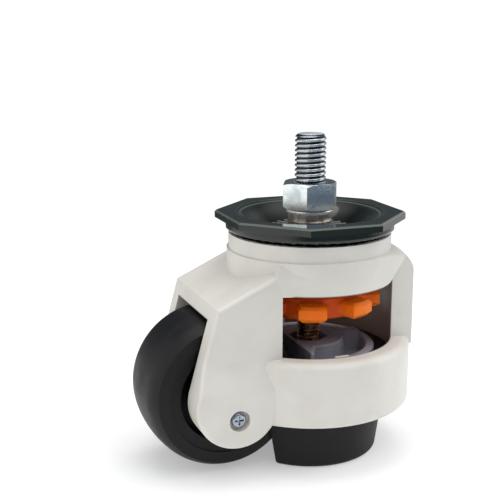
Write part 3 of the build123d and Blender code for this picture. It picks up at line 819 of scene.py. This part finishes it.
class Bench:
    """Modelling operations, worked in millimetres and brought to metres at the end."""

    LEVEL_SLACK = 1e-3
    UPWARDS = 0.9
    SHARP = math.radians(40)
    SMOOTH = math.radians(30)

    @staticmethod
    def clear() -> None:
        """Deselects everything."""
        bpy.ops.object.select_all(action="DESELECT")

    @staticmethod
    def only(piece: bpy.types.Object) -> None:
        """Selects one piece and makes it active.

        Args:
            piece: The piece.
        """
        Bench.clear()
        piece.select_set(True)
        bpy.context.view_layer.objects.active = piece

    @staticmethod
    @contextmanager
    def editing(piece: bpy.types.Object, pick: Pick) -> Iterator[None]:
        """Opens a piece in edit mode and closes it again.

        Args:
            piece: The piece.
            pick: What is picked.

        Yields:
            Nothing, while the piece is open.
        """
        Bench.only(piece)
        bpy.ops.object.mode_set(mode="EDIT")
        bpy.ops.mesh.select_mode(type=pick.value)
        yield
        bpy.ops.object.mode_set(mode="OBJECT")

    @staticmethod
    def apply(piece: bpy.types.Object, modifier: bpy.types.Modifier) -> None:
        """Applies a piece's modifier."""
        Bench.only(piece)
        bpy.ops.object.modifier_apply(modifier=modifier.name)

    @staticmethod
    def cylinder(radius: float, bottom: float, top: float, sides: int = 96) -> bpy.types.Object:
        """Adds an upright cylinder on the swivel axis.

        Args:
            radius: Its radius.
            bottom: Height of its lower end.
            top: Height of its upper end.
            sides: Number of sides.

        Returns:
            The new object, in millimetres.
        """
        Bench.clear()
        bpy.ops.mesh.primitive_cylinder_add(
            vertices=sides, radius=radius, depth=top - bottom, location=(0, 0, (top + bottom) / 2)
        )
        bpy.ops.object.transform_apply(location=True, rotation=True, scale=True)
        return bpy.context.object

    @staticmethod
    def looks_up(face: bpy.types.MeshPolygon) -> bool:
        """Whether a face looks upwards."""
        return face.normal.z > Bench.UPWARDS

    @staticmethod
    def select_faces(
        piece: bpy.types.Object, wanted: Callable[[bpy.types.MeshPolygon], bool]
    ) -> None:
        """Selects a piece's faces in object mode.

        Args:
            piece: The piece.
            wanted: Says of each face whether it is to be selected.
        """
        mesh = piece.data
        for element in (*mesh.vertices, *mesh.edges):
            element.select = False
        for face in mesh.polygons:
            face.select = wanted(face)

    @staticmethod
    def step_up(piece: bpy.types.Object, level: float, inwards: float, height: float) -> None:
        """Draws a narrower step out of the flat face at a level.

        Args:
            piece: A piece in millimetres.
            level: Height of the face.
            inwards: How much smaller the step's radius is.
            height: How high it stands.
        """
        Bench.select_faces(
            piece,
            lambda face: Bench.looks_up(face) and abs(face.center.z - level) < Bench.LEVEL_SLACK,
        )
        with Bench.editing(piece, Pick.FACES):
            bpy.ops.mesh.inset(thickness=inwards, depth=0.0)
            bpy.ops.mesh.extrude_region_move(TRANSFORM_OT_translate={"value": (0, 0, height)})

    @staticmethod
    def round_edges(piece: bpy.types.Object, radius: float, segments: int) -> None:
        """Rounds every sharp edge of a piece.

        Args:
            piece: A piece in millimetres.
            radius: Radius of the rounding.
            segments: Number of faces across it.
        """
        modifier = piece.modifiers.new("edges", "BEVEL")
        modifier.width = radius
        modifier.segments = segments
        modifier.limit_method = "ANGLE"
        modifier.angle_limit = Bench.SHARP
        Bench.apply(piece, modifier)

    @staticmethod
    def combine(piece: bpy.types.Object, tool: bpy.types.Object, work: Work) -> None:
        """Works a piece with a tool, which is used up.

        Args:
            piece: The piece that stays.
            tool: The closed mesh it is worked with.
            work: How it is worked.
        """
        modifier = piece.modifiers.new("work", "BOOLEAN")
        modifier.operation = work.value
        modifier.solver = "EXACT"
        modifier.object = tool
        Bench.apply(piece, modifier)
        bpy.data.objects.remove(tool, do_unlink=True)

    @staticmethod
    def to_metres(piece: bpy.types.Object, name: str) -> None:
        """Brings a finished piece to metres, names it and smooths its round faces.

        Args:
            piece: The piece, in millimetres.
            name: Its name.
        """
        piece.data.transform(Matrix.Scale(MM, 4))
        piece.name = name
        piece.data.name = name
        Bench.only(piece)
        bpy.ops.object.shade_smooth_by_angle(angle=Bench.SMOOTH)


@dataclass(frozen=True)
class Thread:
    """A right-handed rolled thread about the swivel axis, cut as one closed rod.

    The depth, the flat crest and root and the eased edges beside the crest are shares of
    the pitch. The surface is wound some turns past the rod's ends and past its radius.
    """

    major: float
    pitch: float
    bottom: float
    top: float
    chamfer: float
    depth: float = 0.42
    crest: float = 0.20
    root: float = 0.12
    ease: float = 0.09
    steps: int = 48
    spare_turns: int = 2
    spare_radius: float = 0.2
    weld: float = 1e-4
    cut_slack: float = 1e-5

    def build(self) -> bpy.types.Object:
        """Winds one turn's outline up the rod, trims its ends and turns its chamfer.

        Returns:
            The rod, in millimetres.
        """
        rod = self._wind()
        margin = self.pitch / 2
        with Bench.editing(rod, Pick.POINTS):
            bpy.ops.mesh.select_all(action="SELECT")
            bpy.ops.mesh.remove_doubles(threshold=self.weld)
            for level, upper in ((self.bottom - margin, False), (self.top + margin, True)):
                bpy.ops.mesh.select_all(action="SELECT")
                bpy.ops.mesh.bisect(
                    plane_co=(0, 0, level), plane_no=(0, 0, 1), use_fill=True,
                    clear_inner=not upper, clear_outer=upper, threshold=self.cut_slack,
                )
            bpy.ops.mesh.select_all(action="SELECT")
            bpy.ops.mesh.normals_make_consistent(inside=False)
        Bench.combine(rod, self._blank(), Work.MEET)
        return rod

    def _wind(self) -> bpy.types.Object:
        """Winds the helical surface, longer than the rod at both ends.

        Returns:
            The open surface, in millimetres.
        """
        depth, crest, root, edge = (
            share * self.pitch for share in (self.depth, self.crest, self.root, self.ease)
        )
        flank = (self.pitch - crest - root - 2 * edge) / 2
        rise = depth - edge / 2
        moves = (
            (rise, flank), (edge / 2, edge), (0, crest), (-edge / 2, edge), (-rise, flank), (0, root)
        )
        Bench.clear()
        bpy.ops.mesh.primitive_plane_add(size=1.0)
        outline = bpy.context.object
        start = (self.major - depth, 0, self.bottom - self.spare_turns * self.pitch)
        with Bench.editing(outline, Pick.POINTS):
            bpy.ops.mesh.select_all(action="SELECT")
            bpy.ops.mesh.merge(type="CENTER")
            bpy.ops.transform.translate(value=start)
            for out, up in moves:
                bpy.ops.mesh.extrude_vertices_move(TRANSFORM_OT_translate={"value": (out, 0, up)})
        screw = outline.modifiers.new("wind", "SCREW")
        screw.axis = "Z"
        screw.screw_offset = self.pitch
        screw.iterations = math.ceil((self.top - self.bottom) / self.pitch) + 2 * self.spare_turns
        screw.steps = self.steps
        screw.render_steps = self.steps
        Bench.apply(outline, screw)
        return outline

    def _blank(self) -> bpy.types.Object:
        """Makes the plain rod with its chamfered upper end that bounds the thread.

        Returns:
            The rod, in millimetres.
        """
        blank = Bench.cylinder(self.major + self.spare_radius, self.bottom, self.top)
        Bench.select_faces(blank, Bench.looks_up)
        with Bench.editing(blank, Pick.FACES):
            bpy.ops.mesh.bevel(offset=self.chamfer + self.spare_radius, segments=1, affect="EDGES")
        return blank


# ---------------------------------------------------------------- sub-assemblies
@dataclass
class SwivelHead:
    """The fixed head: threaded stem, nut, washer, neck and the eight-sided cover."""

    wardrobe: Wardrobe
    stem_pitch: float = 1.25
    stem_radius: float = 4.0
    stem_chamfer: float = 0.8
    stem_overlap: float = 0.5
    journal_radius: float = 5.0
    journal_height: float = 4.65
    head_thickness: float = 3.1
    washer_round: float = 0.4
    washer_bore: float = 4.02
    washer_sides: int = 128
    washer_segments: int = 4
    skirt_below_rim: float = 2.9
    skirt_radius: float = 21.7
    skirt_wall: float = 0.9
    skirt_drop: float = 1.35
    skirt_lap: float = 0.1
    skirt_round: float = 0.25
    skirt_sides: int = 160
    skirt_segments: int = 3
    overcut: float = 1.0

    def build(self) -> None:
        """Makes the head's new pieces and dresses it."""
        self.wardrobe.lay(ZINC_STEM, self._stem())
        self.wardrobe.lay(ZINC_NUT, "lock_nut")
        self.wardrobe.lay(ZINC_WASHER, self._washer())
        self.wardrobe.lay(NECK, "neck_bush")
        self.wardrobe.lay(DARK_GREEN, "top_cover", self._skirt())

    def _stem(self) -> bpy.types.Object:
        """Makes the stem: its head, its journal and its cut thread.

        Returns:
            The stem, in metres.
        """
        bottom, top = levels("stem_bolt")
        head_radius = reach("stem_bolt")
        head_top = bottom + self.head_thickness
        thread_bottom = head_top + self.journal_height - self.stem_overlap
        thread = Thread(self.stem_radius, self.stem_pitch, thread_bottom, top, self.stem_chamfer)
        stem = Bench.cylinder(head_radius, bottom, head_top)
        Bench.step_up(stem, head_top, head_radius - self.journal_radius, self.journal_height)
        Bench.combine(stem, thread.build(), Work.JOIN)
        Bench.to_metres(stem, "stem_threaded")
        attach(stem, "head")
        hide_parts("stem_bolt")
        return stem

    def _washer(self) -> bpy.types.Object:
        """Makes the washer under the nut, with its rounded rim.

        Returns:
            The washer, in metres.
        """
        bottom, top = levels("neck_washer")
        washer = Bench.cylinder(reach("neck_washer"), bottom, top, self.washer_sides)
        Bench.round_edges(washer, self.washer_round, self.washer_segments)
        bore = Bench.cylinder(self.washer_bore, bottom - self.overcut, top + self.overcut)
        Bench.combine(washer, bore, Work.CUT)
        Bench.to_metres(washer, "neck_washer_rounded")
        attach(washer, "head")
        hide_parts("neck_washer")
        return washer

    def _skirt(self) -> bpy.types.Object:
        """Makes the turned-in lower edge of the cover's skirt, which hides most of the balls.

        Returns:
            The ring, in metres.
        """
        top = levels("top_cover")[1] - self.skirt_below_rim
        bottom = top - self.skirt_drop
        inner = self.skirt_radius - self.skirt_wall
        skirt = Bench.cylinder(self.skirt_radius, bottom, top + self.skirt_lap, self.skirt_sides)
        Bench.round_edges(skirt, self.skirt_round, self.skirt_segments)
        bore = Bench.cylinder(inner, bottom - self.overcut, top + self.overcut)
        Bench.combine(skirt, bore, Work.CUT)
        Bench.to_metres(skirt, "cover_skirt_edge")
        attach(skirt, "head")
        return skirt


@dataclass
class CastHousing:
    """The casting with its race, balls, carrier plate and axle."""

    wardrobe: Wardrobe

    def build(self) -> None:
        """Dresses the housing and what is fixed in it."""
        self.wardrobe.lay(CREAM, "housing")
        self.wardrobe.lay(BRONZE, "hub_bush")
        self.wardrobe.lay(RACE_STEEL, "race_ring", "carrier_plate")
        self.wardrobe.lay(BALL_STEEL, "race_balls")
        self.wardrobe.lay(ZINC, "plate_screws")
        self.wardrobe.lay(ZINC_SCREW, "axle_screw")
        self.wardrobe.lay(AXLE_STEEL, "axle_pin", "axle_washer_near", "axle_washer_far")


@dataclass
class StarSpindle:
    """The orange star wheel and the spindle that it turns.

    The spindle is round where the star wheel hides its hexagon.
    """

    wardrobe: Wardrobe
    pitch: float = 1.0
    thread_radius: float = 3.0
    thread_overlap: float = 0.3
    thread_chamfer: float = 0.05
    flange_radius: float = 5.4
    flange_thickness: float = 1.0
    drive_radius: float = 3.98
    journal_radius: float = 3.5

    def build(self) -> None:
        """Makes the threaded spindle and dresses it, the star wheel and the circlip."""
        self.wardrobe.lay(OILED, self._spindle())
        self.wardrobe.lay(ORANGE, "star_wheel")
        self.wardrobe.lay(RACE_STEEL, "circlip")

    def _spindle(self) -> bpy.types.Object:
        """Makes the spindle: its flange, its drive, its journal and its cut thread.

        Returns:
            The spindle, in metres.
        """
        bottom, top = levels("spindle")
        star_bottom, shoulder = levels("star_wheel")
        flange_bottom = star_bottom - self.flange_thickness
        spindle = Bench.cylinder(self.flange_radius, flange_bottom, star_bottom)
        Bench.step_up(
            spindle, star_bottom, self.flange_radius - self.drive_radius, shoulder - star_bottom
        )
        Bench.step_up(spindle, shoulder, self.drive_radius - self.journal_radius, top - shoulder)
        thread_top = flange_bottom + self.thread_overlap
        thread = Thread(self.thread_radius, self.pitch, bottom, thread_top, self.thread_chamfer)
        Bench.combine(spindle, thread.build(), Work.JOIN)
        Bench.to_metres(spindle, "spindle_threaded")
        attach(spindle, "star")
        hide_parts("spindle")
        return spindle


@dataclass
class LevellingFoot:
    """The grey core, its nut and the rubber cup round them."""

    wardrobe: Wardrobe

    def build(self) -> None:
        """Dresses the foot."""
        self.wardrobe.lay(GREY, "pad_core")
        self.wardrobe.lay(PAD, "pad_rubber")
        self.wardrobe.lay(ZINC, "spindle_nut")


@dataclass
class TrailingWheel:
    """The wheel: tread, moulded core and two bushes."""

    wardrobe: Wardrobe

    def build(self) -> None:
        """Dresses the wheel."""
        self.wardrobe.lay(TREAD, "wheel_tread")
        self.wardrobe.lay(BLACK_CORE, "wheel_core")
        self.wardrobe.lay(AXLE_BRONZE, "wheel_bush_near", "wheel_bush_far")


# ---------------------------------------------------------------- studio
@dataclass(frozen=True)
class Softbox:
    """One large white soft light, aimed at the castor; metres and watts."""

    name: str
    place: Place
    size: float
    power: float


@dataclass(frozen=True)
class Glow:
    """A soft bright or dark patch of the room's wall round the castor.

    Its direction is where it lies as seen from the castor. It is whole inside the inner
    angle and gone past the outer angle, in degrees, and its colour takes the room's place.
    """

    direction: Place
    inner: float
    outer: float
    colour: Colour


@dataclass
class Studio:
    """Pale floor, a soft room, lights and the camera; metres and degrees."""

    target: Place = (0.0, 0.0, 0.038)
    camera_place: Place = (-0.10451, -0.23057, 0.11052)
    camera_turn: Place = (77.09422, -0.04584, -20.88732)
    lens: float = 71.758
    sensor: float = 36.0
    nearest: float = 0.01
    floor_radius: float = 0.24
    floor_sides: int = 128
    floor_colour: Colour = (0.7, 0.7, 0.7)
    floor_roughness: float = 0.8
    floor_glow: float = 0.36
    backdrop: Colour = (1.05, 1.05, 1.05)
    room: Colour = (0.07, 0.08, 0.09)
    glows: tuple[Glow, ...] = (
        Glow((-1.0, 0.05, -0.1), 30.0, 70.0, (1.15, 1.15, 1.15)),
        Glow((0.98, 0.05, 0.0), 22.0, 58.0, (0.6, 0.6, 0.6)),
        Glow((0.36, -0.93, -0.2), 35.0, 70.0, (0.12, 0.16, 0.22)),
        Glow((0.0, -0.15, 1.0), 25.0, 62.0, (1.02, 1.02, 1.02)),
    )
    boxes: tuple[Softbox, ...] = (
        Softbox("key", (0.16, -0.42, 0.62), 0.35, 0.7),
        Softbox("fill", (0.62, -0.12, 0.34), 0.40, 1.45),
        Softbox("top", (0.0, 0.10, 0.70), 0.50, 1.7),
    )

    def build(self) -> None:
        """Sets the floor, room, lights, camera and plain display colours."""
        self._floor()
        self._room()
        for box in self.boxes:
            self._light(box)
        self._camera()
        bpy.context.scene.view_settings.view_transform = "Standard"

    def _floor(self) -> None:
        """Lays a round pale floor under the castor."""
        Bench.clear()
        level = CAD_BOX[0][2]
        bpy.ops.mesh.primitive_circle_add(
            vertices=self.floor_sides, radius=self.floor_radius, fill_type="NGON",
            location=(0, 0, level),
        )
        bpy.ops.object.transform_apply(location=True, rotation=True, scale=True)
        floor = bpy.context.object
        floor.name = "studio_floor"
        floor.data.materials.append(Graph.named("studio_floor").finish(
            Base_Color=self.floor_colour,
            Roughness=self.floor_roughness,
            Emission_Color=(1.0, 1.0, 1.0),
            Emission_Strength=self.floor_glow,
        ))

    def _room(self) -> None:
        """Makes a grey room with soft bright patches; the camera itself sees the backdrop."""
        world = bpy.data.worlds.new("studio")
        graph = Graph(world)
        toward = graph.node("ShaderNodeTexCoord", output="Generated")
        light: Value = self.room
        for glow in self.glows:
            aim = Vector(glow.direction).normalized()
            cosine = graph.node(
                "ShaderNodeVectorMath", {"operation": "DOT_PRODUCT"}, {0: toward, 1: aim}, "Value"
            )
            gone, whole = (math.cos(math.radians(angle)) for angle in (glow.outer, glow.inner))
            light = graph.blend(graph.steps(cosine, gone, whole), light, glow.colour)
        seen = graph.node("ShaderNodeLightPath", output="Is Camera Ray")
        background = world.node_tree.nodes["Background"]
        graph.plug(background.inputs["Color"], graph.blend(seen, light, self.backdrop))
        bpy.context.scene.world = world

    def _light(self, box: Softbox) -> None:
        """Adds one softbox aimed at the target.

        Args:
            box: The softbox.
        """
        lamp = bpy.data.lights.new(box.name, "AREA")
        lamp.shape = "SQUARE"
        lamp.size = box.size
        lamp.energy = box.power
        holder = bpy.data.objects.new(box.name, lamp)
        bpy.context.scene.collection.objects.link(holder)
        holder.location = box.place
        aim = Vector(self.target) - Vector(box.place)
        holder.rotation_euler = aim.to_track_quat("-Z", "Y").to_euler()

    def _camera(self) -> None:
        """Places and turns the camera."""
        camera = bpy.data.cameras.new("camera")
        camera.lens = self.lens
        camera.sensor_width = self.sensor
        camera.clip_start = self.nearest
        holder = bpy.data.objects.new("camera", camera)
        bpy.context.scene.collection.objects.link(holder)
        holder.location = self.camera_place
        holder.rotation_euler = [math.radians(angle) for angle in self.camera_turn]
        bpy.context.scene.camera = holder


def main() -> None:
    """Builds and dresses every sub-assembly, then the studio round it."""
    logging.basicConfig(level=logging.INFO, format="%(name)s: %(message)s")
    wardrobe = Wardrobe()
    for unit in (
        SwivelHead(wardrobe),
        CastHousing(wardrobe),
        StarSpindle(wardrobe),
        LevellingFoot(wardrobe),
        TrailingWheel(wardrobe),
        Studio(),
    ):
        unit.build()
        log.info("%s is done", type(unit).__name__)


if __name__ == "__main__":
    main()
